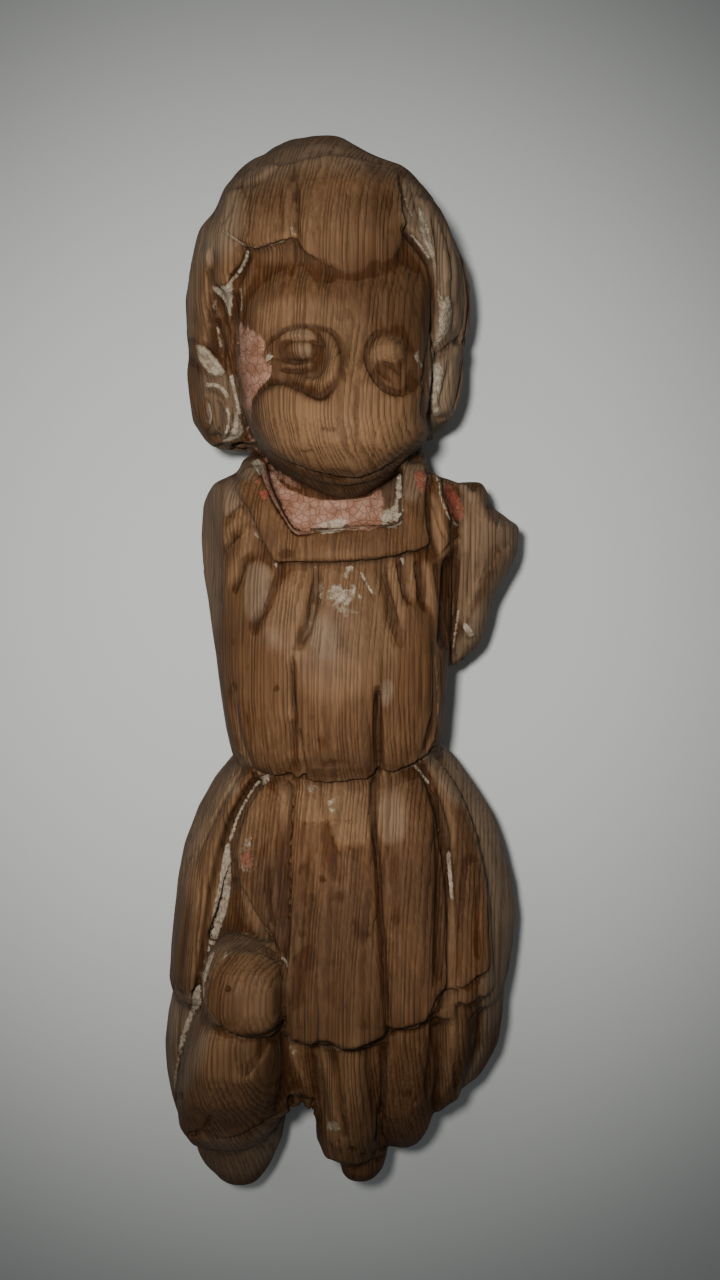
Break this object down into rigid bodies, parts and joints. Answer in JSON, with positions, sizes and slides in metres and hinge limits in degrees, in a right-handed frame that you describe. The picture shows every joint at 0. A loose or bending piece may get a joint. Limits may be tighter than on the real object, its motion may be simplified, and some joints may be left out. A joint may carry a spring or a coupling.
{
  "type": "carved wooden cherub figure",
  "caption": "Weathered pine figure of a curly-haired cherub in a pleated dress, arms and feet broken off, flat back for lying on a shelf or against a wall.",
  "frame": {"origin": "bottom centre of the bounding box, on the flat hewn back the figure lies on", "axes": "+Y runs from the broken feet to the crown, +X to the right of a viewer who looks at the face, +Z out of the chest"},
  "size_m": [0.1176, 0.331, 0.0959],
  "materials": {
    "pine": "bare weathered softwood with remains of white ground and flesh paint"
  },
  "bodies": {
    "root": {"carved_figure": "pine"}
  },
  "joints": []
}
